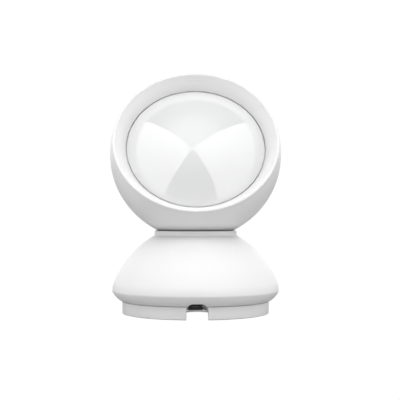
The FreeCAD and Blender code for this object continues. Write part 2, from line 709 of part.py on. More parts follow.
node("pir_sensor", turned("PirSensor", [
    (0, "pcb_level"),
    ("pir_radius + 0.5", "pcb_level"),
    ("pir_radius + 0.5", "pcb_level + 0.5"),
    ("pir_radius", "pcb_level + 0.5"),
    ("pir_radius", "pcb_level + pir_length - 0.3"),
    ("pir_radius - 0.3", "pcb_level + pir_length"),
    (0, "pcb_level + pir_length"),
]), on_head=True)
node("pir_window", group(box(4.2, 3.4, 0.35, z="pcb_level + pir_length")), on_head=True)
node("pir_holder", turned("PirHolder", [
    ("pir_radius + 0.7", "pcb_level"),
    ("pir_radius + 2.2", "pcb_level"),
    ("pir_radius + 3.4", "pcb_level + pir_length - 0.6"),
    ("pir_radius + 2.6", "pcb_level + pir_length - 0.6"),
    ("pir_radius + 0.7", "pcb_level + 1.6"),
]), on_head=True)

MODULE_Y = 5
MODULE_BACK = PCB_BACK + " - 0.8"
node("wifi_module", group(box(15, 18, 0.8, y=MODULE_Y, z=MODULE_BACK)), on_head=True)
node("wifi_shield", group(box(13, 12, 2.2, y=MODULE_Y - 2, z=MODULE_BACK + " - 2.2")),
     on_head=True)
node("status_led", group(box(1.6, 0.8, 0.6, 11, 3, "pcb_level")), on_head=True)
node("light_sensor", group(box(2, 1.6, 0.8, -11, 3, "pcb_level")), on_head=True)
CONNECTOR_DEPTH = 4.4
node("head_connector", group(box(7, 4, CONNECTOR_DEPTH, y=-15.2,
                                 z="%s - %s" % (PCB_BACK, CONNECTOR_DEPTH))), on_head=True)

# ---- wire harness ---------------------------------------------------------------------------
# It rises from the connector in the foot through the hollow bolt, then leans back by the
# complement of the lens tilt to enter the connector of the head's board.

lean = math.radians(90 - number("lens_tilt"))
across = Vector(0, math.cos(lean), math.sin(lean))
lens_axis = Vector(0, -math.sin(lean), math.cos(lean))
entry_level = number("%s - %s*0.65" % (PCB_BACK, CONNECTOR_DEPTH))
centre = Vector(0, 0, number("ball_height"))
harness_end = centre + lens_axis * entry_level + across * -17.25
bend = harness_end - across * (harness_end.y / across.y)
harness_start = Vector(0, 0, number(CONNECTOR_TOP + " - 0.9"))
last_run = (harness_end - bend).Length
half_turn = (math.pi / 2 - lean) / 2
bend_radius = 0.45 * last_run / math.tan(half_turn)
setback = bend_radius * math.tan(half_turn)
arc_start = bend - Vector(0, 0, setback)
arc_end = bend + across * setback
arc_centre = arc_start + Vector(0, bend_radius, 0)
to_middle = (bend - arc_centre).normalize() * bend_radius
path = Part.Wire([Part.LineSegment(harness_start, arc_start).toShape(),
                  Part.Arc(arc_start, arc_centre + to_middle, arc_end).toShape(),
                  Part.LineSegment(arc_end, harness_end).toShape()])
section = Part.Wire(Part.Circle(harness_start, Vector(0, 0, 1),
                                number("harness_radius")).toShape())
harness = doc.addObject("Part::Feature", "WireHarness")
harness.Shape = path.makePipeShell([section], True, True)
harness.Placement = Placement()
node("wire_harness", harness)
print("harness bend radius %.2f mm, volume ratio %.4f"
      % (bend_radius, harness.Shape.Volume
         / (math.pi * number("harness_radius") ** 2 * path.Length)))

# ---- check and write ------------------------------------------------------------------------

doc.recompute()
faults = []
for item in doc.Objects:
    if "Invalid" in item.State or "Error" in item.State:
        faults.append("%s (%s): %s" % (item.Name, item.Label, item.State))
for item in nodes:
    if item.Shape.isNull() or not item.Shape.isValid() or not item.Shape.Solids:
        faults.append("%s has no valid solid" % item.Label)
if faults:
    raise RuntimeError("; ".join(faults))

os.makedirs("parts", exist_ok=True)
for item in nodes:
    item.Shape.exportStep("parts/%s.step" % item.Label)
    extent = item.Shape.optimalBoundingBox(False)
    print("%-18s solids %d  volume %9.1f  x %.2f..%.2f  y %.2f..%.2f  z %.2f..%.2f"
          % (item.Label, len(item.Shape.Solids), item.Shape.Volume, extent.XMin, extent.XMax,
             extent.YMin, extent.YMax, extent.ZMin, extent.ZMax))
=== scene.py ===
import json
import math

import bmesh
import bpy
from mathutils import Matrix, Vector


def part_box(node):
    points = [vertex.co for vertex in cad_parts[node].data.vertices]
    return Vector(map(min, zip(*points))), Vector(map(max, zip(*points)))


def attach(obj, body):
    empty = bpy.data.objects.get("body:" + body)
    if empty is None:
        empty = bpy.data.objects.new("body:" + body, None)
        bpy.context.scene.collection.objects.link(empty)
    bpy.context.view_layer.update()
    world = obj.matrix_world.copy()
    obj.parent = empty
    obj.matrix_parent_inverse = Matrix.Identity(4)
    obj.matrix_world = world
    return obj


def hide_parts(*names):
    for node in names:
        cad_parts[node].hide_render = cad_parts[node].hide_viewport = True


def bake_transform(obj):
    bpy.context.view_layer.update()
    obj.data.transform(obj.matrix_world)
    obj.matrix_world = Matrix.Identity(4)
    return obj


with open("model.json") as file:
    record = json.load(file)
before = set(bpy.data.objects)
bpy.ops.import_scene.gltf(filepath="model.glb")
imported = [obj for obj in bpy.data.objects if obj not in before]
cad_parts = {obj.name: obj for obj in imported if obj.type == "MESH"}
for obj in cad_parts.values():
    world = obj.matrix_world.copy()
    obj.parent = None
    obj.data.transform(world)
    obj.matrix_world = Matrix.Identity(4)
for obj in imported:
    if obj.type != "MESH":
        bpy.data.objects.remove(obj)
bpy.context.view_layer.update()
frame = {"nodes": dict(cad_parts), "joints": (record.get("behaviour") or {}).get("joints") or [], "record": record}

MM = 0.001
scene = bpy.context.scene
nodes = frame["nodes"]
joints = {joint["name"]: joint for joint in frame["joints"]}
node_slot = {row["node"]: row["material_slot"] for row in frame["record"]["subparts"]}


# ---- material helpers ------------------------------------------------------------------------
# Reaches and reliefs are in millimetres, and scales in cells to the millimetre.

MIX_FACTOR, MIX_FIRST, MIX_SECOND = 0, 6, 7     # sockets of a Mix node set to colours
MIX_RESULT = 2
PLASTIC_SHADE_REACH, METAL_SHADE_REACH = 5, 2             # how far off another surface still darkens one with painted shade


def new_material(name):
    """A new material, its node tree and its principled shader."""
    material = bpy.data.materials.new(name)
    material.use_nodes = True
    tree = material.node_tree
    return material, tree, tree.nodes["Principled BSDF"]


def add(tree, kind, sockets=None, **settings):
    """A shader node, with the values of its sockets by name or place, and its settings."""
    item = tree.nodes.new("ShaderNode" + kind)
    for name, value in settings.items():
        setattr(item, name, value)
    for name, value in (sockets or {}).items():
        item.inputs[name].default_value = value
    return item


def object_coordinates(tree):
    """Coordinates that stay with the piece when it moves."""
    return add(tree, "TexCoord").outputs["Object"]


def noise(tree, vector, scale, detail=3.0):
    item = add(tree, "TexNoise", {"Scale": scale / MM, "Detail": detail})
    tree.links.new(vector, item.inputs["Vector"])
    return item.outputs["Fac"]


def spread(tree, value, low, high):
    """A noise value, which is mostly from 0.3 to 0.7, mapped to low and high."""
    item = add(tree, "MapRange", {"From Min": 0.3, "From Max": 0.7, "To Min": low,
                                  "To Max": high})
    tree.links.new(value, item.inputs["Value"])
    return item.outputs["Result"]


def mix_colours(tree, value, first, second):
    item = add(tree, "Mix", data_type="RGBA")
    item.inputs[MIX_FIRST].default_value = (*first, 1)
    item.inputs[MIX_SECOND].default_value = (*second, 1)
    tree.links.new(value, item.inputs[MIX_FACTOR])
    return item.outputs[MIX_RESULT]


def bump(tree, height, relief, strength=1.0):
    item = add(tree, "Bump", {"Strength": strength, "Distance": relief * MM})
    tree.links.new(height, item.inputs["Height"])
    return item.outputs["Normal"]


def painted_crease_shade(tree, colour, reach, depth):
    """Painted shade: the colour, darker by up to the depth where another surface lies within the reach, as ambient
    occlusion finds it.
    """
    # painted shade: ambient occlusion darkens the base colour where shade would fall
    open_sky = add(tree, "AmbientOcclusion", {"Distance": reach * MM}, samples=8)
    tone = add(tree, "MapRange", {"From Min": 0.1, "From Max": 0.95, "To Min": 1 - depth,
                                  "To Max": 1.0})
    tree.links.new(open_sky.outputs["AO"], tone.inputs["Value"])
    mix = add(tree, "Mix", {MIX_FACTOR: 1.0}, data_type="RGBA", blend_type="MULTIPLY")
    tree.links.new(colour, mix.inputs[MIX_FIRST])
    tree.links.new(tone.outputs["Result"], mix.inputs[MIX_SECOND])
    return mix.outputs[MIX_RESULT]


def moulded(name, colour, roughness, grain=9.0, relief=0.004, tone=0.015, specular=0.5, coat=0.0,
            crease_shade=0.0):
    """Moulded plastic: a spark-eroded grain, a slow change of tone over its surface, and, if asked for, painted
    shade in its corners and gaps.
    """
    material, tree, shader = new_material(name)
    place = object_coordinates(tree)
    fine = noise(tree, place, grain, detail=2.0)
    slow = noise(tree, place, 0.06, detail=1.0)
    darker = tuple(channel * (1 - tone) for channel in colour)
    colours = mix_colours(tree, spread(tree, slow, 0, 1), darker, colour)
    # painted shade: the colour darkens where other surfaces come close
    if crease_shade:
        colours = painted_crease_shade(tree, colours, PLASTIC_SHADE_REACH, crease_shade)
    tree.links.new(colours, shader.inputs["Base Color"])
    rough = spread(tree, fine, roughness * 0.92, roughness * 1.08)
    tree.links.new(rough, shader.inputs["Roughness"])
    tree.links.new(bump(tree, fine, relief), shader.inputs["Normal"])
    shader.inputs["Specular IOR Level"].default_value = specular
    shader.inputs["Coat Weight"].default_value = coat
    return material


def metal(name, colour, roughness):
    """Plated or drawn metal with fine marks along one direction, and painted shade that darkens it in its corners
    and gaps.
    """
    brush, relief, crease_shade = (1.0, 1.0, 6.0), 0.003, 0.7
    material, tree, shader = new_material(name)
    place = object_coordinates(tree)
    stretch = add(tree, "Mapping", {"Scale": brush})
    tree.links.new(place, stretch.inputs["Vector"])
    marks = noise(tree, stretch.outputs["Vector"], 3.0, detail=4.0)
    stains = noise(tree, place, 0.25, detail=2.0)
    darker = tuple(channel * 0.85 for channel in colour)
    colours = mix_colours(tree, spread(tree, stains, 0, 1), darker, colour)
    # painted shade: the colour darkens where other surfaces come close
    colours = painted_crease_shade(tree, colours, METAL_SHADE_REACH, crease_shade)
    tree.links.new(colours, shader.inputs["Base Color"])
    rough = spread(tree, marks, roughness * 0.8, roughness * 1.25)
    tree.links.new(rough, shader.inputs["Roughness"])
    tree.links.new(bump(tree, marks, relief), shader.inputs["Normal"])
    shader.inputs["Metallic"].default_value = 1.0
    return material


def milky_lens(name):
    """Milky polyethylene, a little cloudy, with a smooth glossy face."""
    clear, cloudy = (0.748, 0.75, 0.752), (0.763, 0.765, 0.767)
    material, tree, shader = new_material(name)
    place = object_coordinates(tree)
    cloud = noise(tree, place, 0.05, detail=2.0)
    flow = noise(tree, place, 0.4, detail=1.0)
    colours = mix_colours(tree, spread(tree, cloud, 0, 1), clear, cloudy)
    tree.links.new(colours, shader.inputs["Base Color"])
    tree.links.new(spread(tree, flow, 0.025, 0.045), shader.inputs["Roughness"])
    tree.links.new(bump(tree, cloud, 0.01, strength=0.3), shader.inputs["Normal"])
    shader.inputs["IOR"].default_value = 1.52
    shader.inputs["Specular IOR Level"].default_value = 0.6
    return material


def rubber(name, colour):
    return moulded(name, colour, 0.85, grain=4.0, relief=0.02, tone=0.15, specular=0.25)


def circuit_board(name):
    """Green solder mask over copper tracks that just show in it."""
    track, mask = (0.05, 0.27, 0.12, 1), (0.02, 0.14, 0.06, 1)
    track_edge, mask_edge = 0.06, 0.1
    material, tree, shader = new_material(name)
    place = object_coordinates(tree)
    cells = add(tree, "TexVoronoi", {"Scale": 0.55 / MM}, feature="DISTANCE_TO_EDGE")
    tree.links.new(place, cells.inputs["Vector"])
    ramp = add(tree, "ValToRGB")
    stops = zip(ramp.color_ramp.elements, (track_edge, mask_edge), (track, mask))
    for stop, position, colour in stops:
        stop.position = position
        stop.color = colour
    tree.links.new(cells.outputs["Distance"], ramp.inputs["Fac"])
    tree.links.new(ramp.outputs["Color"], shader.inputs["Base Color"])
    weave = noise(tree, place, 2.0)
    tree.links.new(bump(tree, weave, 0.01), shader.inputs["Normal"])
    tree.links.new(spread(tree, weave, 0.3, 0.42), shader.inputs["Roughness"])
    return material


# The last value of a plastic is how far painted shade darkens it in its corners and gaps
MATERIALS = {
    "shell_white": moulded("shell_white", (0.82, 0.82, 0.82), 0.42, specular=0.25, crease_shade=0.6),
    "bezel_white": moulded("bezel_white", (0.82, 0.82, 0.82), 0.4, specular=0.25, crease_shade=0.25),
    "plinth_white": moulded("plinth_white", (0.8, 0.8, 0.8), 0.45, specular=0.25, crease_shade=0.5),
    "lens_milk": milky_lens("lens_milk"),
    "carrier_grey": moulded("carrier_grey", (0.62, 0.63, 0.64), 0.5),
    "foot_rubber": rubber("foot_rubber", (0.62, 0.62, 0.63)),
    "pom_natural": moulded("pom_natural", (0.75, 0.74, 0.7), 0.35),
    "button_grey": moulded("button_grey", (0.35, 0.36, 0.37), 0.45),
    "board_green": circuit_board("board_green"),
    "steel_plated": metal("steel_plated", (0.72, 0.71, 0.69), 0.28),
    "screw_steel": metal("screw_steel", (0.62, 0.62, 0.63), 0.33),
    "spring_steel": metal("spring_steel", (0.5, 0.5, 0.52), 0.3),
    "ballast_steel": metal("ballast_steel", (0.45, 0.45, 0.46), 0.45),
    "component_black": moulded("component_black", (0.02, 0.02, 0.02), 0.4, tone=0.2, crease_shade=0.5),
    "connector_cream": moulded("connector_cream", (0.72, 0.68, 0.52), 0.4),
    "led_clear": moulded("led_clear", (0.8, 0.8, 0.6), 0.1, coat=0.5),
    "wire_grey": moulded("wire_grey", (0.09, 0.09, 0.1), 0.45, tone=0.1),
}


def give_material(item, slot):
    item.data.materials.clear()
    item.data.materials.append(MATERIALS[slot])


for name, item in nodes.items():
    give_material(item, node_slot[name])


# ---- mesh helpers ----------------------------------------------------------------------------
# Sizes here and in the head, the wires and the foot are in millimetres. Turned pieces are given
# as an outline of (radius, level) points, or (radius, level, round) where a corner is rounded.

TURNS = 192
TINY = 1e-6
SHARP_ANGLE = math.radians(28)      # edges that turn by more than this stay sharp


def sine_angle(share):
    """The angle in degrees that has this sine."""
    return math.degrees(math.asin(share))


def cosine_angle(share):
    """The angle in degrees that has this cosine."""
    return math.degrees(math.acos(share))


def across(distance, radius):
    """Half the chord of a circle, at a distance from its centre."""
    return math.sqrt(radius ** 2 - distance ** 2)


def arc(centre, radius, start, end, steps):
    """Points on an arc in the plane of radius and level, between two angles in degrees."""
    turns = [math.radians(start + (end - start) * step / steps) for step in range(steps + 1)]
    return [(centre[0] + radius * math.cos(turn), centre[1] + radius * math.sin(turn))
            for turn in turns]


def arc_between(first, last, radius, steps):
    """Points on the arc between two points, its centre on the left of the way."""
    first, last = Vector(first), Vector(last)
    half = (last - first) / 2
    aside = Vector((-half.y, half.x)).normalized()
    centre = first + half + aside * across(half.length, radius)
    start, end = (math.degrees(math.atan2(point.y, point.x))
                  for point in (first - centre, last - centre))
    return arc(centre, radius, start, end, steps)


def rounded(outline, steps=4):
    """The outline with an arc in place of each corner that has a third value, its radius."""
    result = []
    for index, point in enumerate(outline):
        corner = Vector(point[:2])
        if len(point) == 2:
            result.append(corner)
            continue
        before = (Vector(outline[index - 1][:2]) - corner).normalized()
        after = (Vector(outline[(index + 1) % len(outline)][:2]) - corner).normalized()
        half = before.angle(after) / 2
        centre = corner + (before + after).normalized() * point[2] / math.sin(half)
        first = corner + before * point[2] / math.tan(half) - centre
        last = corner + after * point[2] / math.tan(half) - centre
        result += [centre + first.lerp(last, step / steps).normalized() * point[2]
                   for step in range(steps + 1)]
    return result


def smooth(mesh):
    """Shades the mesh smooth but for its sharp edges."""
    mesh.shade_smooth()
    mesh.set_sharp_from_angle(angle=SHARP_ANGLE)


def finished(name, work):
    """The object made from a bmesh."""
    bmesh.ops.recalc_face_normals(work, faces=work.faces)
    mesh = bpy.data.meshes.new(name)
    work.to_mesh(mesh)
    work.free()
    smooth(mesh)
    item = bpy.data.objects.new(name, mesh)
    scene.collection.objects.link(item)
    return item


def turned(name, outline, span=None, turns=TURNS, shape=None):
    """A closed outline turned about the Z axis: all the way round, or over a span in degrees.
    A shape gives the radius from a point's radius, level and angle."""
    start, end = span or (0, 360)
    angles = [math.radians(start + (end - start) * step / turns) for step in range(turns + 1)]
    if span is None:
        angles.pop()
    work = bmesh.new()
    rings = []
    for radius, level in rounded(outline):
        ring = []
        for angle in angles if radius > TINY else angles[:1]:
            reach = shape(radius, level, angle) if shape else radius
            ring.append(work.verts.new((reach * math.cos(angle) * MM,
                                        reach * math.sin(angle) * MM, level * MM)))
        rings.append(ring)
    for ring, following in zip(rings, rings[1:] + rings[:1]):
        for step in range(len(angles) - (span is not None)):
            corners = [ring[step % len(ring)], ring[(step + 1) % len(ring)],
                       following[(step + 1) % len(following)], following[step % len(following)]]
            face = list(dict.fromkeys(corners))
            if len(face) > 2:
                work.faces.new(face)
    if span is not None:
        work.faces.new([ring[0] for ring in rings])
        work.faces.new([ring[-1] for ring in reversed(rings)])
    return finished(name, work)


def loft(name, sections):
    """A skin over closed sections of points, closed at both ends."""
    work = bmesh.new()
    loops = [[work.verts.new(Vector(point) * MM) for point in section] for section in sections]
    for loop, following in zip(loops, loops[1:]):
        for index in range(len(loop)):
            after = (index + 1) % len(loop)
            work.faces.new([loop[index], loop[after], following[after], following[index]])
    work.faces.new(loops[0])
    work.faces.new(loops[-1])
    return finished(name, work)


def block(name, low, high, edge):
    """A box between two corners, with its edges rounded unless the edge is 0."""
    work = bmesh.new()
    bmesh.ops.create_cube(work, size=1)
    low, high = Vector(low) * MM, Vector(high) * MM
    size = high - low
    for vert in work.verts:
        vert.co = Vector(vert.co[axis] * size[axis] for axis in range(3)) + (low + high) / 2
    if edge:
        bmesh.ops.bevel(work, geom=work.edges[:], offset=edge * MM, segments=3, profile=0.5,
                        affect="EDGES")
    return finished(name, work)


def joined(name, parts):
    """One object from (item, places) pairs, with a copy of each item at each place."""
    work = bmesh.new()
    for item, places in parts:
        for place in places:
            mesh = item.data.copy()
            mesh.transform(place)
            work.from_mesh(mesh)
            bpy.data.meshes.remove(mesh)
        bpy.data.objects.remove(item)
    return finished(name, work)


def combine(item, others, operation):
    """Adds the others to the item, or cuts them from it, and removes them."""
    for other in others:
        change = item.modifiers.new("change", "BOOLEAN")
        change.operation = operation
        change.solver = "EXACT"
        change.object = other
    graph = bpy.context.evaluated_depsgraph_get()
    mesh = bpy.data.meshes.new_from_object(item.evaluated_get(graph))
    item.modifiers.clear()
    item.data = mesh
    smooth(mesh)
    for other in others:
        bpy.data.objects.remove(other)
    return item


def moved(item, matrix):
    item.data.transform(matrix)
    return item


def at(x, y, level=0, turn=0):
    """A place, and a turn about the vertical in degrees."""
    return (Matrix.Translation(Vector((x, y, level)) * MM)
            @ Matrix.Rotation(math.radians(turn), 4, "Z"))


def on_ring(radius, angle, level=0):
    """A place on a circle about the axis, turned to look outward."""
    turn = math.radians(angle)
    return at(radius * math.cos(turn), radius * math.sin(turn), level, angle)


def piece(item, body, slot, *replaced):
    """Rides the item on its body, in the finish of its slot, in place of the named nodes."""
    give_material(item, slot)
    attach(item, body)
    if replaced:
        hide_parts(*replaced)


# ---- head ------------------------------------------------------------------------------------
# Drawn about the ball's centre with +Z along the lens axis, then tilted into place.

BALL_CENTRE = Vector(joints["head_tilt"]["pos_m"])
LENS_LEAN = 60                          # from straight up, in degrees
HEAD_PLACE = Matrix.Translation(BALL_CENTRE) @ Matrix.Rotation(math.radians(LENS_LEAN), 4, "X")

BALL = 34
BALL_INSIDE = 32
PARTING = 8                             # level where the bezel sits on the ball
RIM, RIM_ROUND = 9.97, 0.45
FUNNEL_MOUTH = 31.6
SEAM = (27.5, 4.5)                      # inner edge of the funnel, round the lens
FUNNEL_BACK, FUNNEL_WALL = 3.3, 1.75
GROOVE, GROOVE_FOOT, GROOVE_TOP = 32.45, 5.5, 6.4
HOOKS = (0, 90, 180, 270)
BOARD_BACK = -8.6
BOARD_POSTS = (17.5, (90, 200, 340))    # ring radius, and angles on it in degrees
RETAINER_SCREWS = (30.1, (45, 135, 225, 315))
FINE_TURNS, SMALL_TURNS = 32, 24        # steps round a post, and round a small boss


def board_post(ring, angle):
    """A post from inside the ball's wall to the back of the board, with its screw hole."""
    radius, bore, depth, drill_point = 2.4, 0.83, 4, 0.4
    foot = -across(ring + radius, BALL - 1)
    bore_end = BOARD_BACK - depth
    post = turned("post", [(0, foot), (radius, foot), (radius, BOARD_BACK, 0.2),
                           (bore, BOARD_BACK, 0.15), (bore, bore_end),
                           (0, bore_end - drill_point)], turns=FINE_TURNS)
    return moved(post, on_ring(ring, angle))


def stem_slot():
    """The slot for the hollow bolt: round the straight down direction, about the tilt axis."""
    half_width, half_angle, inner, outer = 2.45, 14.54, BALL_INSIDE - 2, BALL + 2
    down = 270 - LENS_LEAN
    corners = ((-half_width, inner), (half_width, inner), (half_width, outer),
               (-half_width, outer))
    return loft("slot", [[(x, reach * y, reach * z) for x, reach in corners]
                         for y, z in arc((0, 0), 1, down - half_angle, down + half_angle, 24)])


def ball_shell():
    """The ball, open at the front, with a groove inside its mouth for the bezel's hooks."""
    outside = arc((0, 0), BALL, sine_angle(PARTING / BALL), -90, 96)
    inside = arc((0, 0), BALL_INSIDE, -90, sine_angle(GROOVE_FOOT / BALL_INSIDE), 72)
    groove = [(GROOVE, GROOVE_FOOT), (GROOVE, GROOVE_TOP)]
    mouth = arc((0, 0), BALL_INSIDE, sine_angle(GROOVE_TOP / BALL_INSIDE),
                sine_angle(PARTING / BALL_INSIDE), 2)
    shell = turned("ball_shell", [(0 if abs(radius) < TINY else radius, level)
                                  for radius, level in outside + inside + groove + mouth])
    ring, angles = BOARD_POSTS
    combine(shell, [board_post(ring, angle) for angle in angles], "UNION")
    return combine(shell, [stem_slot()], "DIFFERENCE")


def snap_hook(angle):
    """A hook that hangs from the bezel into the groove of the ball."""
    half_width, lead = 6, 0.2
    inside, outside, tip = 30.3, 30.8, 32.2
    foot, catch, root = 5.6, 6.2, 8.4
    outline = [(inside, root), (inside, foot), (tip - lead, foot), (tip, foot + lead, 0.1),
               (tip, catch), (outside, catch, 0.2), (outside, root)]
    return turned("hook", outline, span=(angle - half_width, angle + half_width), turns=8)


def retainer_boss(ring, angle):
    """A boss on the bezel's back, hollow at its foot where the retainer's screw enters."""
    radius, bore, foot, bore_end, root = 1.2, 0.6, 1.9, 2.2, 5.6
    boss = turned("boss", [(0, root), (0, bore_end), (bore, bore_end), (bore, foot),
                           (radius, foot, 0.15), (radius, root)], turns=SMALL_TURNS)
    return moved(boss, on_ring(ring, angle))


def bezel():
    """The funnel ring, with its lip round the outside of the ball."""
    crest = across(RIM, BALL)
    back = across(PARTING, BALL_INSIDE) - 0.1
    lip = arc((0, 0), BALL, sine_angle(PARTING / BALL), sine_angle((RIM - RIM_ROUND) / BALL), 4)
    outline = lip + [(crest, RIM, RIM_ROUND), (FUNNEL_MOUTH, RIM, 0.25), (*SEAM, 0.12),
                     (SEAM[0], FUNNEL_BACK, 0.1), (SEAM[0] + FUNNEL_WALL, FUNNEL_BACK),
                     (back, PARTING)]
    item = turned("front_bezel_shell", outline)
    ring, angles = RETAINER_SCREWS
    hooks = [snap_hook(angle) for angle in HOOKS]
    return combine(item, hooks + [retainer_boss(ring, angle) for angle in angles], "UNION")


def lens():
    """A dome whose inner face has the rings of a Fresnel lens, with a flange round its foot."""
    curve, wall, edge, inner_edge, foot = 39.5, 1.3, 27.12, 25.9, 4.4
    flange, flange_top, flange_foot = 28.8, 3.2, 2
    ring_width, ring_depth = 0.05, 0.25
    centre = foot - across(edge, curve)
    inside = curve - wall
    outline = [(0, centre + curve)]
    outline += arc((0, centre), curve, 90, cosine_angle(edge / curve) + 1, 72)[1:]
    outline += [(edge, foot, 0.2), (edge, flange_top), (flange, flange_top, 0.1),
                (flange, flange_foot, 0.15), (inner_edge, flange_foot, 0.15)]
    rings = arc((0, centre), inside, cosine_angle(inner_edge / inside), 90, 27)
    for radius, level in rings[:-1]:
        outline += [(radius, level), (radius - ring_width, level + ring_depth)]
    outline += [(0, centre + inside)]
    return turned("lens_dome", outline)


HEAD_PIECES = (
    (ball_shell(), "shell_white", "head_shell"),
    (bezel(), "bezel_white", "front_bezel"),
    (lens(), "lens_milk", "lens"),
)
for item, slot, replaced in HEAD_PIECES:
    piece(moved(item, HEAD_PLACE), "head", slot, replaced)


# ---- wires -----------------------------------------------------------------------------------
# From the power board in the foot, up through the hollow bolt, to the board in the head.

WIRES, WIRE, WIRE_SIDES = 4, 0.4, 12
WIRE_SPREAD = 0.57                      # from the middle of the bundle to a wire's middle
WIRE_TWIST = 14                         # degrees to the millimetre
WIRE_BEND = 4.3
CONNECTOR_Y, CONNECTOR_DEPTH = -17.25, 2.86     # in the head, from the board's back


def wire_path():
    """(y, z) points from the foot's connector, up through the bolt, to the head's connector."""
    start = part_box("wire_harness")[0].z / MM
    end = HEAD_PLACE @ (Vector((0, CONNECTOR_Y, BOARD_BACK - CONNECTOR_DEPTH)) * MM) / MM
    bend = end.z - end.y * math.tan(math.radians(LENS_LEAN))
    steps = 24
    run = [Vector((0, start + (bend - start) * step / steps)) for step in range(steps)]
    return run[:-2] + rounded([run[-2], (0, bend, WIRE_BEND), (end.y, end.z)], steps=8)[1:]


def around(middle, side, angle, reach):
    """The point at an angle and a reach from the middle, in the plane of X and the side."""
    turn = math.radians(angle)
    return middle + (Vector((math.cos(turn), 0, 0)) + side * math.sin(turn)) * reach


def wire(path, strand):
    """One of the wires that turn round each other along the path."""
    sections = []
    for before, point, after in zip(path[:1] + path, path, path[1:] + path[-1:]):
        way = after - before
        side = Vector((0, way.y, -way.x)).normalized()
        angle = 360 / WIRES * strand + WIRE_TWIST * (point - path[0]).length
        middle = around(Vector((0, point.x, point.y)), side, angle, WIRE_SPREAD)
        sections.append([around(middle, side, 360 / WIRE_SIDES * corner, WIRE)
                         for corner in range(WIRE_SIDES)])
    return loft("wire", sections)


def harness():
    """The wires run from the foot's connector, up through the hollow bolt, into the head's connector."""
    path = wire_path()
    item = joined("twisted_wires", [(wire(path, strand), [Matrix.Identity(4)])
                                    for strand in range(WIRES)])
    give_material(item, "wire_grey")
    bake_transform(item)
    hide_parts("wire_harness")


harness()


# ---- foot ------------------------------------------------------------------------------------
# Drawn about the foot's axis, from the table up. Screws and posts are given as the radius of
# the ring that they stand on, and their angles on it in degrees.

# Cable notch. Its edge in the plinth is rounded, as (distance from the axis, growth) pairs.
NOTCH_HALF, NOTCH_TOP, NOTCH_CORNER = 4, 6.3, 2.9
NOTCH_FOOT, NOTCH_END = -2, 36          # below the table, and outside the skirt
NOTCH_EDGE = ((28.35, 0), (28.55, 0.05), (28.8, 0.22), (30, 0.75))

# Cover: plinth ring, floor, the spigot that enters the shell, and the soft ring under it.
FLOOR, FLOOR_TOP = 2.95, 4.45
BELOW, ABOVE = 1.9, 6                   # levels under and over the floor
RECESS, RECESS_EDGE = 27, (0.8, 0.6)    # the hollow under the floor, and its bevelled edge
PLINTH, PLINTH_FOOT, PLINTH_TOP = 28.95, 0.15, 4.95
SPIGOT, SPIGOT_INSIDE, SPIGOT_TOP = 27.45, 26.05, 7
RING_INSIDE, RING_OUTSIDE = 27.4, 28.2
RING_GAP, RING_ROOF = 0.05, 1.3
BUTTON_Y = 13
SCREW_HOLE, BUTTON_HOLE = (1.75, 1.3, 0.4), (2.9, 2.3, 0.5)     # mouth, radius, step
COVER_SCREWS = (22, (90, 210, 330))
COVER_POSTS = (14, (30, 150, 270))

# Inlet, and the wall that it comes through: its hole, and the room behind it.
PORT_WALL_FRONT, PORT_WALL_BACK, PORT_WALL_HALF = 26.2, 24.9, 6.5
PORT_X = -0.55
PORT_FOOT, PORT_SHOULDER, PORT_TOP = 3.4, 4.5, 5.9
PORT_FRONT, PORT_BACK = 26, 21
PORT_HALF, PORT_NARROW_HALF = 3.75, 2.65
PORT_CORNER, PORT_SHEET = 0.5, 0.25
PORT_GAP, PORT_HOLE = 0.1, (24, 28)
PORT_ROOM, PORT_ROOM_TOP = (PORT_WALL_BACK - 5, PORT_WALL_BACK), 5

# Shell: skirt, neck and cup, and the room inside with its bosses.
SHELL_FOOT = (29.2, 5.05)
SHELL_WALL = 1.8
BEVEL_ARC = 8
EDGE_ARC, SKIRT_REACH = 9.5, 32.9       # the skirt's round lower edge, and its widest radius
SKIRT_ARC, SKIRT_CENTRE = 36.05, (-1.39, -0.57)
NECK, NECK_TOP = 16.25, 32.7
BALL_LEVEL = BALL_CENTRE.z / MM
CUP = 34.15                             # radius of the cup that the ball turns in
SEAT_INSIDE, SEAT_OUTSIDE, SEAT_FOOT = 11.5, 13.5, 30
SKIRT_ROOM_FOOT, WEB, ROOF = 10.4, 27, 28
SPIGOT_ROOM, SPIGOT_ROOM_TOP = 27.6, 7.2
STEM_HOLE, STEM_HOLE_TOP = 2.25, 32
ROOM_TURN = 0.7                         # degrees
SCREW_BORE, SCREW_DEPTH, DRILL_POINT = 1.13, 7.8, 0.4
COVER_BOSS = 3
BALLAST_POSTS, BALLAST_POST, BALLAST_TOP = (15, (0, 180)), 2.6, 15.1
PAN_STOP = ((-0.7, -7.3, 25.2), (0.7, -5.2, ROOF))      # low and high corner


def cup_arc(first, last, steps):
    """Points on the cup's face between two radii."""
    return arc((0, BALL_LEVEL), CUP, -cosine_angle(first / CUP), -cosine_angle(last / CUP), steps)


